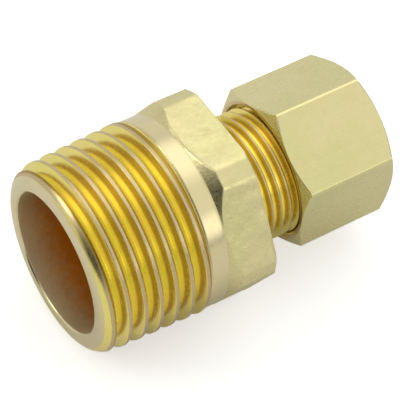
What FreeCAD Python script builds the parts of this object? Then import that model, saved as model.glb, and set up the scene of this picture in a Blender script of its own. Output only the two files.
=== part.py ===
import FreeCAD, Part
import math
import os

V = FreeCAD.Vector

# Straight compression connector, brass: 1/2-14 male taper pipe thread at one end,
# 3/8 in OD tube compression joint (9/16-24 thread, sleeve and hex nut) at the other.
#
# Frame: the axis of the fitting is +X, from the pipe-thread end towards the nut.
# The origin is on the axis in the plane of the pipe-thread end face. +Z is up, and
# one flat of the body hex faces -Z. Millimetres. Angles about the axis are
# right-handed about +X and start at +Y.

# ---------------------------------------------------------------- driving sizes
PIPE_PITCH = 25.4 / 14            # 1/2-14 taper pipe thread
PIPE_R0 = 10.42                   # crest radius at the end face plane
PIPE_TAPER = 1.0 / 32             # radius gain per length
PIPE_DEPTH = 1.20                 # thread depth, crests left flat
PIPE_ROOT_FLAT = 0.09
PIPE_PHASE_X = 0.68               # a crest centre lies here at angle VIEW_ANGLE
PIPE_BORE_R = 7.85
PIPE_BORE_LEN = 13.0
DRILL_HALF_ANGLE = 59.0           # cone left by the drill at the end of the pipe bore

NOSE_LIP_R = 8.02                 # edge of the bore chamfer on the end face
NOSE = [(0.0, 8.02), (0.02, 8.85), (0.10, 9.28), (0.28, 9.60), (0.54, 9.90), (0.92, 10.16),
        (1.50, 10.38)]

COLLAR_X0 = 12.45                 # plain collar between thread and hex
COLLAR_X1 = 14.44
COLLAR_R = 10.61
COLLAR_GROOVE_W = 0.22
COLLAR_GROOVE_D = 0.16

HEX_X1 = 19.50                    # back face of the body hex
HEX_AF = 21.15                    # across flats
HEX_BEVEL = 5.0                   # half angle that each corner's bevel takes up
HEX_CORNER_ANGLE = 120.0          # one corner lies at this angle, so a flat faces -Z
HEX_CHAMFER_R = 10.50             # front chamfer cone starts at this radius, 45 degrees

TUBE_PITCH = 25.4 / 24            # 9/16-24 compression thread
TUBE_R = 7.11                     # crest radius
TUBE_DEPTH = 0.665
TUBE_ROOT_FLAT = 0.13
TUBE_PHASE_X = 24.06              # a crest centre lies here at angle VIEW_ANGLE
BODY_END_X = 29.60
VIEW_ANGLE = 124.2                # thread phases are stated at this angle

THROUGH_R = 3.95                  # water way
SOCKET_R = 4.83                   # socket for 3/8 in (9.525 mm) OD tube
SOCKET_X0 = 20.60                 # tube stop
SEAT_X0 = 27.19                   # small end of the conical seat
SEAT_R1 = 5.85                    # mouth radius of the seat
SEAT_HALF_ANGLE = math.degrees(math.atan((SEAT_R1 - SOCKET_R) / (BODY_END_X - SEAT_X0)))

NUT_X0 = 25.05
NUT_X1 = 36.55
NUT_AF = 15.875                   # 5/8 in
NUT_FLAT_ANGLE = 125.04           # one flat's normal
NUT_CORNER_ROUND = 0.16
NUT_CHAMFER_R = 7.86              # both end chamfers start here, 30 degrees off the face
NUT_MINOR_R = 6.62                # bore before threading
NUT_CSK_R = 7.50                  # countersink at the mouth
NUT_THREAD_GAP = 0.10             # clearance normal to the thread flanks
NUT_ROOT_R = 7.25
NUT_RELIEF_X0 = 30.70
NUT_SHOULDER_X = 34.30            # small end of the shoulder that presses the sleeve
NUT_SHOULDER_HALF_ANGLE = 30.0
NUT_HOLE_R = 5.05                 # tube passes here

SLEEVE_X0 = 28.64                 # sleeve as assembled, one turn short of tight
SLEEVE_LEN = 5.60
SLEEVE_R = 5.65
SLEEVE_BORE_R = 4.83
SLEEVE_END_R = 4.98


# ---------------------------------------------------------------- helpers
def revolve(points):
    """Solid of revolution about X from a closed (x, r) outline."""
    pts = [V(x, r, 0) for x, r in points]
    wire = Part.makePolygon(pts + [pts[0]])
    solid = Part.Face(wire).revolve(V(0, 0, 0), V(1, 0, 0), 360)
    return solid


def crowned(points, crowns):
    """Solid of revolution about X. The outline's segments named in crowns bulge by 0.01 mm."""
    pts = [V(x, r, 0) for x, r in points]
    pts.append(pts[0])
    edges = []
    for k, (p, q) in enumerate(zip(pts[:-1], pts[1:])):
        if k in crowns:
            across = V(-(q - p).y, (q - p).x, 0).normalize()
            curve = Part.BSplineCurve()
            curve.interpolate([p, (p + q) * 0.5 + across * 0.01, q])
            edges.append(curve.toShape())
        else:
            edges.append(Part.makeLine(p, q))
    return Part.Face(Part.Wire(edges)).revolve(V(0, 0, 0), V(1, 0, 0), 360)


def at(x, r, deg):
    a = math.radians(deg)
    return V(x, r * math.cos(a), r * math.sin(a))


def helical_solid(angles, outline):
    """Solid that follows a helix. outline(angle) gives four (x, r) corners."""
    rows = [[], [], [], []]
    for a in angles:
        for row, (x, r) in zip(rows, outline(a)):
            row.append(at(x, r, a))
    edges = []
    for row in rows:
        curve = Part.BSplineCurve()
        curve.interpolate(Points=row, Parameters=[float(a) for a in angles])
        edges.append(curve.toShape())
    faces = [Part.makeRuledSurface(edges[i], edges[(i + 1) % 4]) for i in range(4)]
    for end in (0, -1):
        ring = [row[end] for row in rows]
        faces.append(Part.Face(Part.makePolygon(ring + [ring[0]])))
    shell = Part.makeShell(faces)
    shell.sewShape(1e-5)
    solid = Part.Solid(shell if shell.ShapeType == "Shell" else shell.Shells[0])
    if solid.Volume < 0:
        solid.reverse()
    return solid


def helical_cutters(a0, a1, outline, span=120.0, step=12.0):
    """The same helical solid in end-to-end segments, each a part of a turn."""
    n = int(math.ceil((a1 - a0) / span))
    cutters = []
    for k in range(n):
        b0, b1 = a0 + (a1 - a0) * k / n, a0 + (a1 - a0) * (k + 1) / n
        m = max(4, int(math.ceil((b1 - b0) / step)))
        cutters.append(helical_solid([b0 + (b1 - b0) * i / m for i in range(m + 1)], outline))
    return cutters


def smooth(t):
    t = max(0.0, min(1.0, t))
    return t * t * (3 - 2 * t)


def hex_prism(x0, x1, half_af, flat_angle, bevel_half_angle):
    """Hexagonal prism along X. Each corner carries a narrow bevel."""
    pts = []
    r = half_af / math.cos(math.radians(30 - bevel_half_angle))
    for k in range(6):
        corner = flat_angle + 30 + 60 * k
        for s in (-1, 1):
            pts.append(at(x0, r, corner + s * bevel_half_angle))
    face = Part.Face(Part.makePolygon(pts + [pts[0]]))
    return face.extrude(V(x1 - x0, 0, 0))


def tidy(shape, name):
    solid = shape.Solids[0]
    if len(shape.Solids) != 1:
        raise RuntimeError(name + " has %d solids" % len(shape.Solids))
    solid = solid.removeSplitter().Solids[0]
    if not solid.isValid():
        raise RuntimeError(name + " isn't valid")
    print(name, "volume", round(solid.Volume, 2), "faces", len(solid.Faces))
    return solid


# ---------------------------------------------------------------- body blank
tan = lambda d: math.tan(math.radians(d))
pipe_r = lambda x: PIPE_R0 + PIPE_TAPER * x

gx = COLLAR_X0
pipe_end = revolve(
    [(0.0, 0.0)]
    + NOSE
    + [(2.3, pipe_r(2.3) - 0.02), (3.2, pipe_r(3.2)),
       (gx - COLLAR_GROOVE_W - 0.25, pipe_r(gx - COLLAR_GROOVE_W - 0.25)),
       (gx - COLLAR_GROOVE_W, COLLAR_R),
       (gx - 0.5 * COLLAR_GROOVE_W, COLLAR_R - COLLAR_GROOVE_D),
       (gx, COLLAR_R - 0.03),
       (gx + 0.06, COLLAR_R),
       (COLLAR_X1 - 0.04, COLLAR_R),
       (COLLAR_X1, COLLAR_R - 0.04),
       (COLLAR_X1 + 0.3, COLLAR_R - 0.04),
       (COLLAR_X1 + 0.3, 0.0)]
)

hex_flat_angle = HEX_CORNER_ANGLE + 30
body_hex = hex_prism(COLLAR_X1, HEX_X1, HEX_AF / 2, hex_flat_angle, HEX_BEVEL)
long_edges = [e for e in body_hex.Edges if abs(e.Length - (HEX_X1 - COLLAR_X1)) < 1e-6]
body_hex = body_hex.makeFillet(0.35, long_edges)
hex_r = HEX_AF / 2 / math.cos(math.radians(30))
chamfer = crowned([
    (COLLAR_X1, 0.0), (COLLAR_X1, HEX_CHAMFER_R),
    (COLLAR_X1 + 2.0, HEX_CHAMFER_R + 2.0),
    (HEX_X1 - 0.9, HEX_CHAMFER_R + 2.0),
    (HEX_X1, hex_r - 0.75), (HEX_X1, 0.0)], (1, 3))
body_hex = body_hex.common(chamfer)

tube_end = revolve([
    (HEX_X1 - 0.5, 0.0), (HEX_X1 - 0.5, TUBE_R), (BODY_END_X - 0.75, TUBE_R),
    (BODY_END_X, TUBE_R - 0.62), (BODY_END_X, 0.0)])

blank = pipe_end.fuse(body_hex).fuse(tube_end)

# ---------------------------------------------------------------- pipe thread groove
def pipe_groove(angle):
    turns = (angle - VIEW_ANGLE) / 360.0
    x = PIPE_PHASE_X + PIPE_PITCH * (0.5 + turns)
    # the groove deepens over its first half turn and runs out before the collar
    f = smooth((turns + 0.55) / 0.30) * (1 - 0.90 * smooth((turns - 5.45) / 0.50))
    if turns > 5.95:
        f = 0.10 * (1 - smooth((turns - 5.95) / 0.25))
    root = pipe_r(x) - PIPE_DEPTH * f - 0.02 * (f > 0) + (1 - smooth(f * 8)) * 0.05
    top = root + PIPE_DEPTH + 0.30
    h0 = PIPE_ROOT_FLAT / 2
    h1 = h0 + (top - root) * tan(30)
    return [(x - h0, root), (x + h0, root), (x + h1, top), (x - h1, top)]


groove = helical_cutters(VIEW_ANGLE - 0.55 * 360, VIEW_ANGLE + 6.18 * 360, pipe_groove)

# ---------------------------------------------------------------- compression thread groove
def tube_groove(angle):
    turns = (angle - VIEW_ANGLE) / 360.0
    x = TUBE_PHASE_X + TUBE_PITCH * (0.5 + turns)
    f = smooth((turns + 4.05) / 0.45)          # runs out near the hex
    root = TUBE_R - TUBE_DEPTH * f + (1 - smooth(f * 8)) * 0.05
    top = root + TUBE_DEPTH + 0.10
    h0 = TUBE_ROOT_FLAT / 2
    h1 = h0 + (top - root) * tan(30)
    return [(x - h0, root), (x + h0, root), (x + h1, top), (x - h1, top)]


t_end = (BODY_END_X + 0.9 - TUBE_PHASE_X) / TUBE_PITCH - 0.5
tgroove = helical_cutters(VIEW_ANGLE - 4.04 * 360, VIEW_ANGLE + t_end * 360, tube_groove)

# ---------------------------------------------------------------- body bores
drill_len = (PIPE_BORE_R - THROUGH_R) / tan(DRILL_HALF_ANGLE)
bores = revolve([
    (-1.0, 0.0), (-1.0, NOSE_LIP_R + 0.0), (0.0, NOSE_LIP_R),
    (NOSE_LIP_R - PIPE_BORE_R, PIPE_BORE_R), (PIPE_BORE_LEN, PIPE_BORE_R),
    (PIPE_BORE_LEN + drill_len, THROUGH_R), (SOCKET_X0, THROUGH_R),
    (SOCKET_X0, SOCKET_R), (SEAT_X0, SOCKET_R), (BODY_END_X, SEAT_R1),
    (BODY_END_X + 1.0, SEAT_R1), (BODY_END_X + 1.0, 0.0)])

fitting_body = blank.cut(groove).cut(tgroove).cut(bores)
fitting_body = tidy(fitting_body, "fitting_body")

# ---------------------------------------------------------------- compression nut
nut_hex = hex_prism(NUT_X0, NUT_X1, NUT_AF / 2, NUT_FLAT_ANGLE, 0.9)
nut_edges = [e for e in nut_hex.Edges if abs(e.Length - (NUT_X1 - NUT_X0)) < 1e-6]
nut_hex = nut_hex.makeFillet(NUT_CORNER_ROUND, nut_edges)
nut_chamfer = crowned([
    (NUT_X0, 0.0), (NUT_X0, NUT_CHAMFER_R), (NUT_X0 + 2.0 * tan(30), NUT_CHAMFER_R + 2.0),
    (NUT_X1 - 2.0 * tan(30), NUT_CHAMFER_R + 2.0), (NUT_X1, NUT_CHAMFER_R), (NUT_X1, 0.0)],
    (1, 3))
nut_hex = nut_hex.common(nut_chamfer)
shoulder_r = NUT_HOLE_R + 0.04
relief_cone_x = NUT_SHOULDER_X - (NUT_MINOR_R - shoulder_r) / tan(NUT_SHOULDER_HALF_ANGLE)
nut_bores = revolve([
    (NUT_X0 - 1.0, 0.0), (NUT_X0 - 1.0, NUT_CSK_R), (NUT_X0, NUT_CSK_R),
    (NUT_X0 + (NUT_CSK_R - NUT_MINOR_R), NUT_MINOR_R),
    (NUT_RELIEF_X0, NUT_MINOR_R),
    (relief_cone_x, NUT_MINOR_R),
    (NUT_SHOULDER_X, shoulder_r), (NUT_SHOULDER_X + 0.04, NUT_HOLE_R),
    (NUT_X1 - 0.35, NUT_HOLE_R), (NUT_X1, NUT_HOLE_R + 0.35),
    (NUT_X1 + 1.0, NUT_HOLE_R + 0.35), (NUT_X1 + 1.0, 0.0)])


def nut_groove(angle):
    turns = (angle - VIEW_ANGLE) / 360.0
    x = TUBE_PHASE_X + TUBE_PITCH * turns
    end = (NUT_RELIEF_X0 - TUBE_PHASE_X) / TUBE_PITCH
    f = 1 - smooth((turns - end + 0.1) / 0.5)
    ridge_half = (TUBE_PITCH - TUBE_ROOT_FLAT - 2 * TUBE_DEPTH * tan(30)) / 2
    gap = NUT_THREAD_GAP / math.cos(math.radians(30))
    h_root = ridge_half - (NUT_ROOT_R - TUBE_R) * tan(30) + gap
    inner = NUT_MINOR_R - 0.06
    h_in = ridge_half + (TUBE_R - inner) * tan(30) + gap
    shift = (NUT_ROOT_R - NUT_MINOR_R + 0.03) * (1 - f)
    return [(x - h_in, inner - shift), (x + h_in, inner - shift),
            (x + h_root, NUT_ROOT_R - shift), (x - h_root, NUT_ROOT_R - shift)]


n_start = (NUT_X0 - 0.7 - TUBE_PHASE_X) / TUBE_PITCH
n_end = (NUT_RELIEF_X0 - TUBE_PHASE_X) / TUBE_PITCH + 0.41
ngroove = helical_cutters(VIEW_ANGLE + n_start * 360, VIEW_ANGLE + n_end * 360, nut_groove)
compression_nut = nut_hex.cut(nut_bores).cut(ngroove)
compression_nut = tidy(compression_nut, "compression_nut")

# ---------------------------------------------------------------- sleeve (ferrule)
s0, s1 = SLEEVE_X0, SLEEVE_X0 + SLEEVE_LEN
front = (SLEEVE_R - SLEEVE_END_R) / tan(SEAT_HALF_ANGLE)
rear = (SLEEVE_R - SLEEVE_END_R) / tan(NUT_SHOULDER_HALF_ANGLE)
sleeve = revolve([
    (s0, SLEEVE_BORE_R), (s0, SLEEVE_END_R), (s0 + front, SLEEVE_R),
    (s1 - rear, SLEEVE_R), (s1, SLEEVE_END_R), (s1, SLEEVE_BORE_R)])
sleeve = tidy(sleeve, "sleeve")

os.makedirs("parts", exist_ok=True)
for name, shape in (("fitting_body", fitting_body), ("compression_nut", compression_nut),
                    ("sleeve", sleeve)):
    shape.exportStep("parts/" + name + ".step")
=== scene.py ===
import math
import bmesh
import bpy
import numpy as np
from mathutils import Matrix, Vector


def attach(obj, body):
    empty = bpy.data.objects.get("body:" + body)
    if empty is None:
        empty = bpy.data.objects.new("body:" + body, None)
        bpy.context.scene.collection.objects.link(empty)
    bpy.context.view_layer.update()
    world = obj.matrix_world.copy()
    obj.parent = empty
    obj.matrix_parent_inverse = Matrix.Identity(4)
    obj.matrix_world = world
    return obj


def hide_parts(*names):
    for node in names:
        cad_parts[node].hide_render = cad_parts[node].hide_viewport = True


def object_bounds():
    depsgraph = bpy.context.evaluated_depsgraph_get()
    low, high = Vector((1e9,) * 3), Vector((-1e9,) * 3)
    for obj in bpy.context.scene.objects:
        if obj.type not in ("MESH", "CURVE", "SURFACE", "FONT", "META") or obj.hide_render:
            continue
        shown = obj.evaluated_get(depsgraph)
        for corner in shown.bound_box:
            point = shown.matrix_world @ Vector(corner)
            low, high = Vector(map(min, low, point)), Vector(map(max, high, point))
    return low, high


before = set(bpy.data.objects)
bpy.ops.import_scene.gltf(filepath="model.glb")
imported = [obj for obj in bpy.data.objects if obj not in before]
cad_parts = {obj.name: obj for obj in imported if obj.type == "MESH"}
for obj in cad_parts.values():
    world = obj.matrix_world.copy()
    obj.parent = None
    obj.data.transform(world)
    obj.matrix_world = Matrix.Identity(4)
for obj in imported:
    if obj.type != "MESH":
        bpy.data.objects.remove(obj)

cad_box = [[float(v) for v in corner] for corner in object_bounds()]
rad = math.radians

# ------------------------------------------------------------------ sizes, mm, as in the design
VIEW = 124.2
PIPE_P, PIPE_R0, PIPE_TAPER, PIPE_D, PIPE_H0, PIPE_X = 25.4 / 14, 10.42, 1 / 32, 1.20, 0.045, 0.68
TUBE_P, TUBE_R, TUBE_D, TUBE_H0, TUBE_X = 25.4 / 24, 7.11, 0.665, 0.065, 24.06
NOSE = [(0.0, 8.02), (0.02, 8.85), (0.10, 9.28), (0.28, 9.60), (0.54, 9.90), (0.92, 10.16),
        (1.50, 10.38), (2.3, 10.472), (3.2, 10.52)]
COLLAR_X0, COLLAR_X1, COLLAR_R = 12.45, 14.44, 10.61
HEX_X1, HEX_HALF, HEX_CORNER, HEX_BEVEL = 19.50, 10.575, 120.0, 5.0
END_X, SOCKET_X, SOCKET_R, SEAT_X, SEAT_R, WAY_R = 29.60, 20.60, 4.83, 27.19, 5.85, 3.95
BORE_R, BORE_LEN = 7.85, 13.0
NUT_X0, NUT_X1, NUT_HALF, NUT_FLAT, NUT_CH = 25.05, 36.55, 7.9375, 125.04, 7.86
NUT_MINOR, NUT_CSK, NUT_ROOT, NUT_RELIEF = 6.62, 7.50, 7.25, 30.70
NUT_SHOULDER, NUT_HOLE = 34.30, 5.05
SL_X0, SL_LEN, SL_R, SL_BORE, SL_END = 28.64, 5.60, 5.65, 4.83, 4.98


# ------------------------------------------------------------------ small tools
def smooth(t):
    t = np.clip(t, 0.0, 1.0)
    return t * t * (3 - 2 * t)


def soft_min(a, b, k):
    """The lower of two radii, with the corner between them rounded over about k."""
    h = np.clip(0.5 + 0.5 * (b - a) / k, 0.0, 1.0)
    return b * (1 - h) + a * h - k * h * (1 - h)


class Noise:
    """Smooth repeating 3-D noise from a seed, about -1 to 1."""

    def __init__(self, seed, n=32):
        self.n = n
        self.g = np.random.RandomState(seed).uniform(-1, 1, (n, n, n))

    def __call__(self, p):
        q = np.floor(p).astype(int)
        f = p - q
        f = f * f * (3 - 2 * f)
        out = 0.0
        for i in (0, 1):
            for j in (0, 1):
                for k in (0, 1):
                    w = (f[..., 0] if i else 1 - f[..., 0]) \
                        * (f[..., 1] if j else 1 - f[..., 1]) \
                        * (f[..., 2] if k else 1 - f[..., 2])
                    out = out + w * self.g[(q[..., 0] + i) % self.n,
                                           (q[..., 1] + j) % self.n,
                                           (q[..., 2] + k) % self.n]
        return out


def angles(corner, bevel, on_flat, on_corner):
    """Angles round the axis, in degrees, with rows on the edges of a hexagon's corners."""
    out = []
    for k in range(6):
        c = corner + 60 * k
        out += list(np.linspace(c - bevel, c + bevel, on_corner, endpoint=False))
        out += list(np.linspace(c + bevel, c + 60 - bevel, on_flat, endpoint=False))
    a = np.array(out)
    return a - a[0], a[0]


def catmull(points, per):
    """A smooth curve through (x, r) points."""
    p = np.array(points, float)
    p = np.vstack([2 * p[0] - p[1], p, 2 * p[-1] - p[-2]])
    out = []
    for i in range(1, len(p) - 2):
        for t in np.linspace(0, 1, per, endpoint=False):
            a, b, c, d = p[i - 1:i + 3]
            out.append(0.5 * (2 * b + (c - a) * t + (2 * a - 5 * b + 4 * c - d) * t * t
                              + (3 * b - a - 3 * c + d) * t ** 3))
    out.append(p[-2])
    return np.array(out)


def rounded(points, radius, n=3):
    """A polyline (x, r) with each inner corner rounded."""
    pts = [np.array(p, float) for p in points]
    out = [pts[0]]
    for a, b, c in zip(pts[:-2], pts[1:-1], pts[2:]):
        u, v = a - b, c - b
        lu, lv = np.linalg.norm(u), np.linalg.norm(v)
        cosang = np.clip(np.dot(u, v) / (lu * lv), -1, 1)
        half = math.acos(cosang) / 2
        cut = min(radius / max(math.tan(half), 1e-6), 0.45 * lu, 0.45 * lv)
        p0, p2 = b + u / lu * cut, b + v / lv * cut
        for t in np.linspace(0, 1, n + 1):
            out.append((1 - t) ** 2 * p0 + 2 * t * (1 - t) * b + t * t * p2)
    out.append(pts[-1])
    return out


class Skin:
    """Collects strips of quads round the X axis, then makes one closed mesh of them."""

    def __init__(self, ang, first):
        self.a = ang + first        # degrees
        self.n = len(ang)
        self.v, self.f, self.m = [], [], []
        self.count = 0

    def _add(self, x, r):
        a = np.radians(self.a)
        x = np.broadcast_to(x, r.shape)
        v = np.stack([x, r * np.cos(a), r * np.sin(a)], -1).reshape(-1, 3)
        self.v.append(v)
        start = self.count
        self.count += len(v)
        return start

    def rings(self, rows, mat):
        """rows: list of (x, r), each a number or one value per angle."""
        x = np.array([np.broadcast_to(np.asarray(p[0], float), (self.n,)) for p in rows])
        r = np.array([np.broadcast_to(np.asarray(p[1], float), (self.n,)) for p in rows])
        s = self._add(x, r)
        j = np.arange(len(rows) - 1)[:, None]
        i = np.arange(self.n)[None, :]
        i2 = (i + 1) % self.n
        q = np.stack([s + j * self.n + i, s + (j + 1) * self.n + i,
                      s + (j + 1) * self.n + i2, s + j * self.n + i2], -1).reshape(-1, 4)
        self.f.append(q)
        self.m.append(np.full(len(q), mat))

    def spiral(self, offsets, pitch, x0, x1, phase, radius, mat, mats=None):
        """Rows that run along a right-handed helix between x0 and x1. offsets are the rows' places within one pitch."""
        lead = (self.a - VIEW) / 360.0 * pitch
        per = len(offsets)
        k0 = int(math.floor((x0 - phase - lead.max()) / pitch)) - 1
        k1 = int(math.ceil((x1 - phase - lead.min()) / pitch)) + 1
        base = np.array([phase + k * pitch + o for k in range(k0, k1 + 1) for o in offsets])
        x = np.clip(base[:, None] + lead[None, :], x0, x1)
        r = radius(x, np.broadcast_to(self.a, x.shape))
        s = self._add(x, r)
        rows = len(base)
        j = np.arange(rows - 1)[:, None]
        i = np.arange(self.n)[None, :]
        last = i == self.n - 1
        nj = np.where(last, np.minimum(j + per, rows - 1), j)
        nj1 = np.where(last, np.minimum(j + 1 + per, rows - 1), j + 1)
        ni = np.where(last, 0, i + 1)
        q = np.stack([s + j * self.n + i + 0 * ni, s + (j + 1) * self.n + i + 0 * ni,
                      s + nj1 * self.n + ni, s + nj * self.n + ni], -1).reshape(-1, 4)
        m = np.full(len(q), mat)
        if mats is not None:
            m = np.repeat([mats[(jj % per)] for jj in range(rows - 1)], self.n)
        self.f.append(q)
        self.m.append(m)

    def build(self, name, materials, move=None, sharp=32):
        v = np.vstack(self.v)
        if move is not None:
            v = move(v)
        v = v * 1e-3
        f = np.vstack(self.f)
        m = np.concatenate(self.m)
        me = bpy.data.meshes.new(name)
        bm = bmesh.new()
        verts = [bm.verts.new(p) for p in v]
        for quad, k in zip(f, m):
            pts = [v[t] for t in quad]
            ids = []
            for t, p in zip(quad, pts):
                if not any(np.abs(p - v[u]).max() < 1e-9 for u in ids):
                    ids.append(t)
            if len(ids) < 3:
                continue
            try:
                face = bm.faces.new([verts[t] for t in ids])
            except ValueError:
                continue
            face.material_index = int(k)
            face.smooth = True
        bmesh.ops.remove_doubles(bm, verts=bm.verts, dist=4e-8)
        bmesh.ops.dissolve_degenerate(bm, dist=1e-8, edges=bm.edges)
        loose = [p for p in bm.verts if not p.link_faces]
        bmesh.ops.delete(bm, geom=loose, context="VERTS")
        bmesh.ops.recalc_face_normals(bm, faces=bm.faces)
        open_edges = sum(1 for e in bm.edges if len(e.link_faces) != 2)
        vol = bm.calc_volume(signed=True)
        if vol < 0:
            bmesh.ops.reverse_faces(bm, faces=bm.faces)
        print(name, "faces", len(bm.faces), "open edges", open_edges, "mm3", round(abs(vol) * 1e9, 1))
        bm.to_mesh(me)
        bm.free()
        me.set_sharp_from_angle(angle=rad(sharp))
        for mt in materials:
            me.materials.append(mt)
        o = bpy.data.objects.new(name, me)
        bpy.context.scene.collection.objects.link(o)
        return o


FLOOR_GLOW = 0.50
WORLD_LEVEL = 0.62
# soft lights: direction, full within this angle, gone beyond this one (degrees), brightness
LOBES = [
    ((0.37, 0.25, 0.90), 10, 36, 0.75),
    ((0.37, -0.87, 0.32), 5, 18, 0.80),
    ((0.37, -0.55, 0.75), 8, 26, 0.32),
    ((-0.69, 0.42, 0.56), 8, 18, 2.8),
    ((-0.88, -0.40, 0.20), 16, 34, -0.60),
    ((0.37, 0.92, 0.10), 15, 40, 0.18),
    ((0.37, -0.93, 0.0), 6, 17, -0.24),
]

T30 = math.tan(rad(30))
forge = Noise(11)
fine = Noise(23)
wobble = Noise(5)

# ------------------------------------------------------------------ radius functions
nose_curve = catmull(NOSE, 10)


def pipe_blank(x):
    r = np.interp(x, nose_curve[:, 0], nose_curve[:, 1])
    r = np.where(x > NOSE[-1][0], PIPE_R0 + PIPE_TAPER * x, r)
    # ease down to the collar
    return r - (r - COLLAR_R) * smooth((x - 11.96) / 0.26)


def pipe_radius(x, deg):
    """Crest surface with the helical groove cut into it."""
    out = pipe_blank(x)
    p = np.stack([x * 1.3, deg * 0.055, 0 * x + 0.5], -1)
    jitter = 0.012 * wobble(p * np.array([1.0, 2.2, 1.0]))
    for k in range(-1, 8):
        turns = (deg - VIEW) / 360.0 + k
        xc = PIPE_X + PIPE_P * (0.5 + turns)
        f = smooth((turns + 0.55) / 0.30) * (1 - 0.90 * smooth((turns - 5.45) / 0.50))
        f = np.where(turns > 5.95, 0.10 * (1 - smooth((turns - 5.95) / 0.25)), f)
        s = np.abs(x - xc)
        root = PIPE_R0 + PIPE_TAPER * xc - PIPE_D * f
        g = root + soft_max(0 * s, (s - PIPE_H0) / T30, 0.10)
        g = np.where(f <= 0, 99.0, g)
        out = soft_min(out, g + jitter, 0.035)
    return out


def soft_max(a, b, k):
    return -soft_min(-a, -b, k)


def tube_blank(x):
    end = TUBE_R - np.maximum(0, x - (END_X - 0.75)) * (0.62 / 0.75)
    return np.where(x > END_X - 0.75, end, TUBE_R)


def tube_radius(x, deg):
    out = tube_blank(x)
    for k in range(-9, 12):
        turns = (deg - VIEW) / 360.0 + k
        xc = TUBE_X + TUBE_P * (0.5 + turns)
        f = smooth((turns + 4.05) / 0.45)
        s = np.abs(x - xc)
        g = TUBE_R - TUBE_D * f + soft_max(0 * s, (s - TUBE_H0) / T30, 0.05)
        g = np.where(f <= 0, 99.0, g)
        out = soft_min(out, g, 0.025)
    return out


def nut_thread_radius(x, deg):
    """Internal thread: the groove lies outward of the bore."""
    out = np.full(x.shape, NUT_MINOR)
    csk = NUT_CSK - (x - NUT_X0)
    out = np.maximum(out, csk)
    ridge = (TUBE_P - 2 * TUBE_H0 - 2 * TUBE_D * T30) / 2
    gap = 0.10 / math.cos(rad(30))
    end = (NUT_RELIEF - TUBE_X) / TUBE_P
    for k in range(-4, 9):
        turns = (deg - VIEW) / 360.0 + k
        xc = TUBE_X + TUBE_P * turns
        f = 1 - smooth((turns - end + 0.1) / 0.5)
        shift = (NUT_ROOT - NUT_MINOR + 0.03) * (1 - f)
        s = np.abs(x - xc)
        # the flank: half width of the groove at radius r is ridge + gap + (TUBE_R - r) tan 30
        r = TUBE_R - (s - ridge - gap) / T30
        g = soft_min(r, 0 * r + NUT_ROOT, 0.04) - shift
        out = soft_max(out, g, 0.02)
    return out


def hex_radius(deg, corner, half, bevel, k):
    """Distance to a hexagon's side, with each corner bevelled and its edges rounded."""
    out = np.full(deg.shape, 1e9)
    cut = half / math.cos(rad(30 - bevel)) * math.cos(rad(bevel)) if bevel > 0 else 1e9
    for j in range(6):
        c = np.cos(np.radians(deg - corner - 30 - 60 * j))
        out = soft_min(out, np.where(c > 0.2, half / np.maximum(c, 0.2), 99.0), k)
        if bevel > 0:
            c = np.cos(np.radians(deg - corner - 60 * j))
            out = soft_min(out, np.where(c > 0.2, cut / np.maximum(c, 0.2), 99.0), k)
    return out


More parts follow.
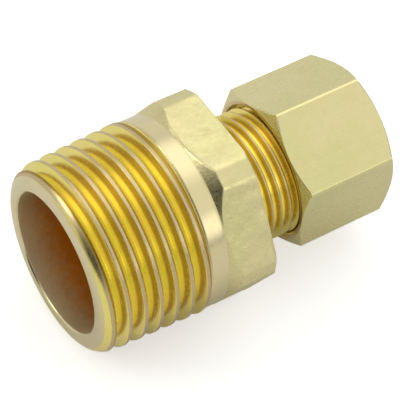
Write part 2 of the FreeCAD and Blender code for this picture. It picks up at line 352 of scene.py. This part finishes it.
# ------------------------------------------------------------------ fitting body
def make_body(mats):
    ang, first = angles(HEX_CORNER, HEX_BEVEL, 32, 8)
    sk = Skin(ang, first)
    A = sk.a
    NOSE_M, THREAD, FORGED, NECK, BORE, TURNED, BACK, SHADE, CREST = range(9)

    # pipe end: bore lip and nose
    lip = rounded([(0.45, BORE_R), (0.17, BORE_R), (0.0, NOSE[0][1]), (0.012, 8.5)], 0.07, 4)
    front = [(0.012, 8.5), (0.016, 8.7)] + [tuple(p) for p in nose_curve if 0.018 < p[0] < 0.262]
    sk.rings(lip[:6], BORE)
    sk.rings(lip[5:-1] + front + [(0.27, pipe_radius(np.full(sk.n, 0.27), A))], NOSE_M)
    edge = PIPE_H0 + PIPE_D * T30
    off = np.array([-0.5 * PIPE_P, -edge - 0.07, -edge - 0.03, -edge, -edge + 0.035,
                    -edge + 0.09, -0.50, -0.32, -0.16, -0.07])
    off = np.concatenate([off, [0.0], -off[::-1][:-1]])
    # painted shade: the SHADE rows colour the flank facing away from the nose, next to each crest, dark where the
    # groove lies in shade
    mat_of = [CREST if (o < -edge - 0.02 or o >= edge) else SHADE if o < -0.45 else THREAD
              for o in off]
    sk.spiral(off, PIPE_P, 0.27, COLLAR_X0 - 0.22, PIPE_X + PIPE_P / 2, pipe_radius, NOSE_M, mat_of)
    # collar
    gx = COLLAR_X0 - 0.22
    start = (gx, pipe_radius(np.full(sk.n, gx), A))
    col = rounded([(gx, COLLAR_R), (gx + 0.11, COLLAR_R - 0.16), (COLLAR_X0, COLLAR_R - 0.02),
                   (COLLAR_X0 + 0.07, COLLAR_R), (13.2, COLLAR_R), (13.9, COLLAR_R),
                   (COLLAR_X1 - 0.05, COLLAR_R), (COLLAR_X1, COLLAR_R - 0.05)], 0.05, 2)
    sk.rings([start] + col[1:], TURNED)

    # hex
    hr = hex_radius(A, HEX_CORNER, HEX_HALF, HEX_BEVEL, 0.10)
    xs = np.concatenate([np.linspace(COLLAR_X1, COLLAR_X1 + 1.32, 23),
                         np.linspace(COLLAR_X1 + 1.32, HEX_X1 - 0.6, 16)[1:],
                         np.linspace(HEX_X1 - 0.6, HEX_X1, 9)[1:]])
    rows = []
    for x in xs:
        cone = HEX_R0(x)
        r = soft_min(hr, cone, 0.07)
        # forging skin on the flats and bevels, fading out at the machined chamfer
        w = smooth((cone - hr) / 0.25) * smooth((HEX_X1 - x) / 0.25)
        a = np.radians(A)
        p = np.stack([np.full(sk.n, x), hr * np.cos(a), hr * np.sin(a)], -1)
        d = 0.050 * forge(p * 0.42) + 0.020 * forge(p * 1.1 + 7) + 0.008 * fine(p * 2.6)
        rows.append((x, r + w * (d - 0.035)))
    rows[0] = (COLLAR_X1, np.full(sk.n, COLLAR_R - 0.05))
    sk.rings(rows, FORGED)
    edge = rows[-1][1]
    back = [(HEX_X1, edge)]
    back += [(HEX_X1 + 0.0, edge + (TUBE_R + 0.35 - edge) * t) for t in (0.05, 0.3, 0.65, 1.0)]
    sk.rings(back, BACK)
    neck = rounded([(HEX_X1, TUBE_R + 0.35), (HEX_X1, TUBE_R + 0.02), (HEX_X1 + 0.18, TUBE_R)],
                   0.12, 3)
    nx = HEX_X1 + 0.2
    sk.rings(neck + [(nx, tube_radius(np.full(sk.n, nx), A))], BACK)

    # compression thread
    off = np.array([-0.5 * TUBE_P, -0.475, -0.45, -0.425, -0.30, -0.16, -0.06])
    off = np.concatenate([off, [0.0], -off[::-1][:-1]])
    # painted shade: the SHADE rows colour the flank facing away from the nose, next to each crest, dark where the
    # groove lies in shade
    mat_of = [CREST if (o < -0.44 or o >= 0.44) else SHADE if o < -0.28 else NECK for o in off]
    sk.spiral(off, TUBE_P, nx, END_X - 0.02, TUBE_X + TUBE_P / 2, tube_radius, NECK, mat_of)
    end_r = tube_radius(np.full(sk.n, END_X - 0.02), A)
    sk.rings([(END_X - 0.02, end_r), (END_X, end_r - 0.02), (END_X, 6.1)]
             + rounded([(END_X, 6.1), (END_X, SEAT_R), (END_X - 0.3, SEAT_R - 0.127)], 0.05, 3)
             + [(END_X - 0.9, SEAT_R - 0.381), (END_X - 1.6, SEAT_R - 0.677), (SEAT_X, SOCKET_R),
                (25.0, SOCKET_R), (22.5, SOCKET_R), (SOCKET_X + 0.1, SOCKET_R),
                (SOCKET_X, SOCKET_R - 0.1), (SOCKET_X, WAY_R + 0.1), (SOCKET_X - 0.1, WAY_R)],
             TURNED)
    dl = (BORE_R - WAY_R) / math.tan(rad(59))
    rows = [(SOCKET_X - 0.1, WAY_R), (18.5, WAY_R)]
    rows += rounded([(18.5, WAY_R), (BORE_LEN + dl, WAY_R), (BORE_LEN, BORE_R), (10.0, BORE_R)],
                    0.2, 3)[1:]
    rows += [(x, BORE_R) for x in (8.0, 6.0, 4.5, 3.0, 2.0, 1.2, 0.7, 0.45)]
    sk.rings(rows, BORE)
    return sk.build("body_brass", mats)


def HEX_R0(x):
    """The front chamfer cone and the small back one."""
    return np.minimum(10.50 + (x - COLLAR_X1), 11.461 + (HEX_X1 - x) * 1.039 / 0.9)


# ------------------------------------------------------------------ compression nut
def make_nut(mats):
    ang, first = angles(NUT_FLAT + 30, 1.6, 33, 8)
    sk = Skin(ang, first)
    A = sk.a
    FLAT, FACE, INSIDE = range(3)
    hr = hex_radius(A, NUT_FLAT + 30, NUT_HALF, 0.9, 0.05)
    xs = np.concatenate([np.linspace(NUT_X0, NUT_X0 + 0.95, 20),
                         np.linspace(NUT_X0 + 0.95, NUT_X1 - 0.95, 14)[1:],
                         np.linspace(NUT_X1 - 0.95, NUT_X1, 20)[1:]])
    rows = []
    for x in xs:
        cone = min(NUT_CH + (x - NUT_X0) / T30, NUT_CH + (NUT_X1 - x) / T30)
        a = np.radians(A)
        p = np.stack([np.full(sk.n, x), hr * np.cos(a), hr * np.sin(a)], -1)
        # drawn bar: the flats wave slightly across, and hardly along, the bar
        d = 0.010 * fine(p * np.array([0.05, 1.3, 1.3])) + 0.005 * fine(p * 1.7 + 3)
        rows.append((x, soft_min(hr + d - 0.015, 0 * hr + cone, 0.05)))
    rim0 = (NUT_X0 + 0.015, np.minimum(rows[0][1] + 0.02, 7.88))
    rim1 = (NUT_X1 - 0.015, np.minimum(rows[-1][1] + 0.02, 7.88))
    x0, x1 = NUT_X0 + 0.03, 31.3
    sk.rings([(x0, nut_thread_radius(np.full(sk.n, x0), A)), (NUT_X0, NUT_CSK + 0.02),
              (NUT_X0, 7.62), (NUT_X0, 7.74), (NUT_X0, 7.83), rim0], FACE)
    sk.rings([rim0] + rows[1:-1] + [rim1], FLAT)
    sk.rings([rim1, (NUT_X1, 7.80), (NUT_X1, 7.1), (NUT_X1, 6.3)]
             + rounded([(NUT_X1, 6.3), (NUT_X1, NUT_HOLE + 0.35), (NUT_X1 - 0.35, NUT_HOLE),
                        (NUT_SHOULDER + 0.9, NUT_HOLE)], 0.06, 3)[1:], FACE)
    sk.rings(rounded([(NUT_SHOULDER + 0.9, NUT_HOLE), (NUT_SHOULDER + 0.04, NUT_HOLE),
                      (NUT_SHOULDER - (NUT_MINOR - NUT_HOLE - 0.04) / T30, NUT_MINOR),
                      (x1, NUT_MINOR)], 0.1, 3)[:-1]
             + [(x1, nut_thread_radius(np.full(sk.n, x1), A))], INSIDE)
    # the helical rows run from the mouth inwards
    off = np.array([-0.5 * TUBE_P, -0.50, -0.42, -0.30, -0.18, -0.12, -0.07])
    off = np.concatenate([off, [0.0], -off[::-1][:-1]])
    sk.spiral(off, TUBE_P, x0, x1, TUBE_X, nut_thread_radius, INSIDE)
    return sk.build("nut_brass", mats)


# ------------------------------------------------------------------ sleeve
def make_sleeve(mats):
    ang = np.arange(0, 360, 1.5)
    sk = Skin(ang, 0.0)
    seat = (SEAT_R - SOCKET_R) / (END_X - SEAT_X)
    f = (SL_R - SL_END) / seat
    b = (SL_R - SL_END) / T30
    x1 = SL_X0 + SL_LEN
    rows = rounded([(31.0, SL_BORE), (SL_X0, SL_BORE), (SL_X0, SL_END), (SL_X0 + f, SL_R),
                    (31.4, SL_R), (x1 - b, SL_R), (x1, SL_END), (x1, SL_BORE), (33.0, SL_BORE),
                    (31.0, SL_BORE)], 0.06, 4)
    sk.rings(rows, 0)
    return sk.build("sleeve_brass", mats)


# ------------------------------------------------------------------ materials
class Nodes:
    """A short way to write shader nodes: inputs by name, links by passing a socket."""

    def __init__(self, tree):
        self.t = tree
        tree.nodes.clear()

    def __call__(self, kind, out=0, props=None, **ins):
        n = self.t.nodes.new("ShaderNode" + kind)
        for k, v in (props or {}).items():
            setattr(n, k, v)
        for k, v in ins.items():
            key = int(k[1:]) if k[0] == "i" and k[1:].isdigit() else k.replace("_", " ")
            self.put(n.inputs[key], v)
        return n.outputs[out]

    def put(self, sock, v):
        if isinstance(v, bpy.types.NodeSocket):
            self.t.links.new(v, sock)
        else:
            sock.default_value = v

    def math(self, op, a, b=0.0, c=0.0, clamp=False):
        return self("Math", props={"operation": op, "use_clamp": clamp}, i0=a, i1=b, i2=c)

    def ramp(self, v, lo, hi, a=0.0, b=1.0):
        return self("MapRange", props={"interpolation_type": "SMOOTHSTEP"},
                    i0=v, i1=lo, i2=hi, i3=a, i4=b)

    def mix(self, f, a, b, blend="MIX"):
        return self("Mix", out=2, props={"data_type": "RGBA", "blend_type": blend},
                    i0=f, i6=a, i7=b)

    def noise(self, vec, scale, detail=3.0, rough=0.5):
        return self("TexNoise", Vector=vec, Scale=scale, Detail=detail, Roughness=rough)


def brass(name, tone, rough, spread, marks=None, mark_depth=2e-6, grain=0.0, grain_scale=1.0,
          tarnish=0.12, seed=0.0, painted_bore_shade=None):
    """Brass in one of its finishes. tone is the colour, rough the sheen, spread how far the
    sheen wanders. marks: "ring" for lathe marks, "long" for drawing lines, "face" for facing
    marks. Lengths in metres."""
    m = bpy.data.materials.new(name)
    m.use_nodes = True
    N = Nodes(m.node_tree)
    pos = N("TexCoord", out=3)
    mm = N("VectorMath", props={"operation": "SCALE"}, i0=pos, Scale=1000.0)
    mm = N("VectorMath", props={"operation": "ADD"}, i0=mm, i1=(seed, seed * 1.7, -seed))
    sep = m.node_tree.nodes.new("ShaderNodeSeparateXYZ")
    m.node_tree.links.new(pos, sep.inputs[0])
    x, y, z = sep.outputs
    rr = N.math("SQRT", N.math("ADD", N.math("MULTIPLY", y, y), N.math("MULTIPLY", z, z)))
    along = N.math("MULTIPLY", x, 1000.0)
    out = N.math("MULTIPLY", rr, 1000.0)

    # colour: broad warm and green drift, small mottling, thin tarnish in patches
    broad = N.noise(mm, 0.16, 2.0, 0.5)
    mottle = N.noise(mm, 1.1, 4.0, 0.6)
    dark = tuple(c * k for c, k in zip(tone, (0.80, 0.78, 0.66)))
    green = tuple(c * k for c, k in zip(tone, (0.955, 0.985, 0.92)))
    c = N.mix(N.ramp(broad, 0.42, 0.62), tone + (1,), green + (1,))
    c = N.mix(N.math("MULTIPLY", N.ramp(mottle, 0.52, 0.78), tarnish), c, dark + (1,))

    if painted_bore_shade is not None:    # painted shade: browner and darker further in from the mouth, where the bore lies in shade, with a ragged edge
        d = N.math("ADD", along, N.math("MULTIPLY", N.math("SUBTRACT", mottle, 0.5), 4.0))
        c = N.mix(N.ramp(d, 0.4, 5.0), c, painted_bore_shade + (1,))

    if marks == "ring":
        v = N("CombineXYZ", X=N.math("MULTIPLY", along, 9.0), Y=N.math("MULTIPLY", out, 9.0),
              Z=N.math("MULTIPLY", N("Math", props={"operation": "ARCTAN2"}, i0=z, i1=y), 0.35))
        line = N.noise(v, 1.0, 3.0, 0.65)
    elif marks == "long":
        v = N("VectorMath", props={"operation": "MULTIPLY"}, i0=mm, i1=(0.06, 7.0, 7.0))
        line = N.noise(v, 1.0, 3.0, 0.6)
    elif marks == "face":
        v = N("CombineXYZ", X=N.math("MULTIPLY", out, 10.0),
              Y=N.math("MULTIPLY", N("Math", props={"operation": "ARCTAN2"}, i0=z, i1=y), 0.5),
              Z=0.0)
        line = N.noise(v, 1.0, 3.0, 0.65)
    else:
        line = N.noise(mm, 3.0, 4.0, 0.6)
    speck = N.noise(mm, 9.0, 3.0, 0.6)
    c = N.mix(N.math("MULTIPLY", N.ramp(line, 0.55, 0.80), 0.10), c, dark + (1,))

    r = N.math("ADD", rough, N.math("MULTIPLY", N.math("SUBTRACT", mottle, 0.5), spread))
    r = N.math("ADD", r, N.math("MULTIPLY", N.math("SUBTRACT", line, 0.5), spread * 1.2))
    r = N.math("ADD", r, N.math("MULTIPLY", N.math("SUBTRACT", speck, 0.5), spread * 0.6),
               clamp=True)
    b1 = N("Bump", props={}, Strength=1.0, Distance=mark_depth, Height=line)
    g = N.noise(mm, 2.2 * grain_scale, 4.0, 0.55)
    b2 = N("Bump", Strength=1.0, Distance=max(grain, 1e-7), Height=g, Normal=b1)
    b3 = N("Bump", Strength=1.0, Distance=1.2e-6, Height=speck, Normal=b2)
    bsdf = m.node_tree.nodes.new("ShaderNodeBsdfPrincipled")
    bsdf.inputs["Metallic"].default_value = 1.0
    bsdf.inputs["IOR"].default_value = 1.5
    N.put(bsdf.inputs["Base Color"], c)
    N.put(bsdf.inputs["Roughness"], r)
    N.put(bsdf.inputs["Normal"], b3)
    o = m.node_tree.nodes.new("ShaderNodeOutputMaterial")
    m.node_tree.links.new(bsdf.outputs[0], o.inputs[0])
    return m


CREAM = (0.80, 0.69, 0.40)
GOLD = (0.98, 0.82, 0.23)
PALE = (0.78, 0.70, 0.36)
WARM = (0.80, 0.62, 0.33)
# painted shade tone for the thread flanks facing away from the nose
PAINTED_SHADE_TONE = (0.46, 0.29, 0.05)
PINK = (0.64, 0.50, 0.27)

body_mats = [
    brass("brass_nose", CREAM, 0.20, 0.12, "ring", 1.5e-6, seed=1.0),
    brass("brass_pipe_thread", GOLD, 0.24, 0.16, "ring", 2.5e-6, grain=3e-6, seed=2.0),
    brass("brass_forged_hex", PALE, 0.30, 0.20, None, 2e-6, grain=22e-6, tarnish=0.45, seed=3.0),
    brass("brass_tube_thread", GOLD, 0.24, 0.14, "ring", 2.0e-6, seed=4.0),
    # the bore is painted browner and darker further in from the mouth: painted shade
    brass("brass_bore", (0.84, 0.76, 0.50), 0.50, 0.22, "ring", 14.0e-6, seed=5.0,
          painted_bore_shade=(0.74, 0.36, 0.03)),
    brass("brass_turned", CREAM, 0.20, 0.12, "ring", 1.5e-6, seed=6.0),
    brass("brass_back_face", PALE, 0.26, 0.12, "face", 2.0e-6, seed=7.0),
    # painted shade: the dark material on the thread flanks facing away from the nose
    brass("brass_thread_shade", PAINTED_SHADE_TONE, 0.26, 0.20, "ring", 3.0e-6, grain=4e-6, tarnish=0.5,
          seed=12.0),
    brass("brass_crests", PINK, 0.30, 0.20, "ring", 2.0e-6, grain=3e-6, tarnish=0.4, seed=13.0),
]
nut_mats = [
    brass("brass_nut_flats", PALE, 0.26, 0.18, "long", 4.5e-6, grain=7e-6, seed=8.0),
    brass("brass_nut_faces", WARM, 0.24, 0.12, "face", 2.0e-6, seed=9.0),
    brass("brass_nut_inside", GOLD, 0.26, 0.14, "ring", 2.0e-6, seed=10.0),
]
sleeve_mats = [brass("brass_sleeve", CREAM, 0.20, 0.10, "ring", 1.2e-6, seed=11.0)]

body = make_body(body_mats)
nut = make_nut(nut_mats)
sleeve = make_sleeve(sleeve_mats)
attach(body, "fitting")
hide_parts("fitting_body")
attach(nut, "nut")
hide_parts("compression_nut")
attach(sleeve, "sleeve_carrier")
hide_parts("sleeve")

# ------------------------------------------------------------------ floor
floor_z = cad_box[0][2] - 1e-5
me = bpy.data.meshes.new("floor")
me.from_pydata([(-3, -3, floor_z), (3, -3, floor_z), (3, 3, floor_z), (-3, 3, floor_z)], [],
               [(0, 1, 2, 3)])
floor = bpy.data.objects.new("floor", me)
bpy.context.scene.collection.objects.link(floor)
fm = bpy.data.materials.new("floor_white")
fm.use_nodes = True
F = Nodes(fm.node_tree)
fb = fm.node_tree.nodes.new("ShaderNodeBsdfPrincipled")
fb.inputs["Base Color"].default_value = (0.86, 0.86, 0.86, 1)
fb.inputs["Roughness"].default_value = 0.9
fb.inputs["Specular IOR Level"].default_value = 0.0
fb.inputs["Emission Color"].default_value = (1, 1, 1, 1)
fb.inputs["Emission Strength"].default_value = FLOOR_GLOW
fo = fm.node_tree.nodes.new("ShaderNodeOutputMaterial")
fm.node_tree.links.new(fb.outputs[0], fo.inputs[0])
glow = F.math("MULTIPLY", F("LightPath", out=0), FLOOR_GLOW)
fm.node_tree.links.new(glow, fb.inputs["Emission Strength"])
me.materials.append(fm)

# ------------------------------------------------------------------ light
world = bpy.data.worlds.new("studio")
bpy.context.scene.world = world
world.use_nodes = True
W = Nodes(world.node_tree)
ray = W("TexCoord", out=0)
level = WORLD_LEVEL
for d, inner, outer, amount in LOBES:
    v = Vector(d).normalized()
    dot = W("VectorMath", out=1, props={"operation": "DOT_PRODUCT"}, i0=ray, i1=tuple(v))
    level = W.math("ADD", level, W.ramp(dot, math.cos(rad(outer)), math.cos(rad(inner)), 0.0,
                                        amount))
level = W.math("MAXIMUM", level, 0.0)
grey = W("CombineColor", Red=level, Green=level, Blue=level)
seen = W("LightPath", out=0)
colour = W.mix(seen, grey, (0.96, 0.96, 0.96, 1))
bg = W("Background", Color=colour, Strength=1.0)
wo = world.node_tree.nodes.new("ShaderNodeOutputWorld")
world.node_tree.links.new(bg, wo.inputs[0])

# ------------------------------------------------------------------ camera
beta, tau = rad(24.486), rad(21.701)
ca, cb, sa, sb = math.cos(tau), math.cos(beta), math.sin(tau), math.sin(beta)
a_ = Vector((ca * cb, -ca * sb, sa))
u_ = Vector((sa * cb, -sa * sb, -ca))
v_ = Vector((sb, cb, 0))
ex = Vector((1, 0, 0))
eu = Vector((0, math.cos(rad(VIEW)), math.sin(rad(VIEW))))
ev = Vector((0, math.cos(rad(VIEW + 90)), math.sin(rad(VIEW + 90))))


def back_to_row(c):
    """A direction given right, down and away from the camera, in the row frame."""
    return ex * a_.dot(c) + eu * u_.dot(c) + ev * v_.dot(c)


right, up, away = (back_to_row(Vector(c)) for c in ((1, 0, 0), (0, -1, 0), (0, 0, 1)))
place = -back_to_row(Vector((-14.805, 6.500, 239.183))) * 1e-3
cam = bpy.data.objects.new("camera", bpy.data.cameras.new("camera"))
cam.data.sensor_width = 36.0
cam.data.lens = 2353.4 / 400 * 36.0
cam.data.clip_start, cam.data.clip_end = 0.005, 20.0
cam.matrix_world = Matrix(((right.x, up.x, -away.x, place.x), (right.y, up.y, -away.y, place.y),
                           (right.z, up.z, -away.z, place.z), (0, 0, 0, 1)))
bpy.context.scene.collection.objects.link(cam)
bpy.context.scene.camera = cam
bpy.context.scene.view_settings.view_transform = "Standard"
